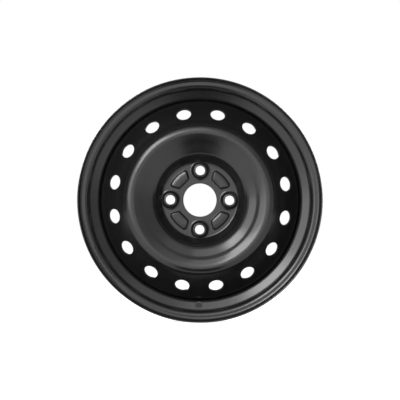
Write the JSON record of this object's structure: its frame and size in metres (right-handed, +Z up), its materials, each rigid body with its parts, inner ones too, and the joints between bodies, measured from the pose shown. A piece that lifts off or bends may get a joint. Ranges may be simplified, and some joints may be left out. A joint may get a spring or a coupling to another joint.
{
  "type": "steel car wheel",
  "caption": "Pressed steel car wheel without tyre: drop-centre rim, dished disc with centre bore, raised nut seats, ring of ventilation holes and valve hole, semi-gloss black.",
  "frame": {"origin": "centre of the wheel: on its spin axis, midway between the rim's two lips", "axes": "+Y along the spin axis from the outer face inboard towards the hub, +Z up, with the valve hole at the bottom"},
  "size_m": [0.4148, 0.1652, 0.4148],
  "materials": {
    "black_paint": "semi-gloss black paint over steel"
  },
  "bodies": {
    "root": {"wheel_rim": "black_paint", "wheel_disc": "black_paint", "weld_beads": "black_paint"}
  },
  "joints": []
}
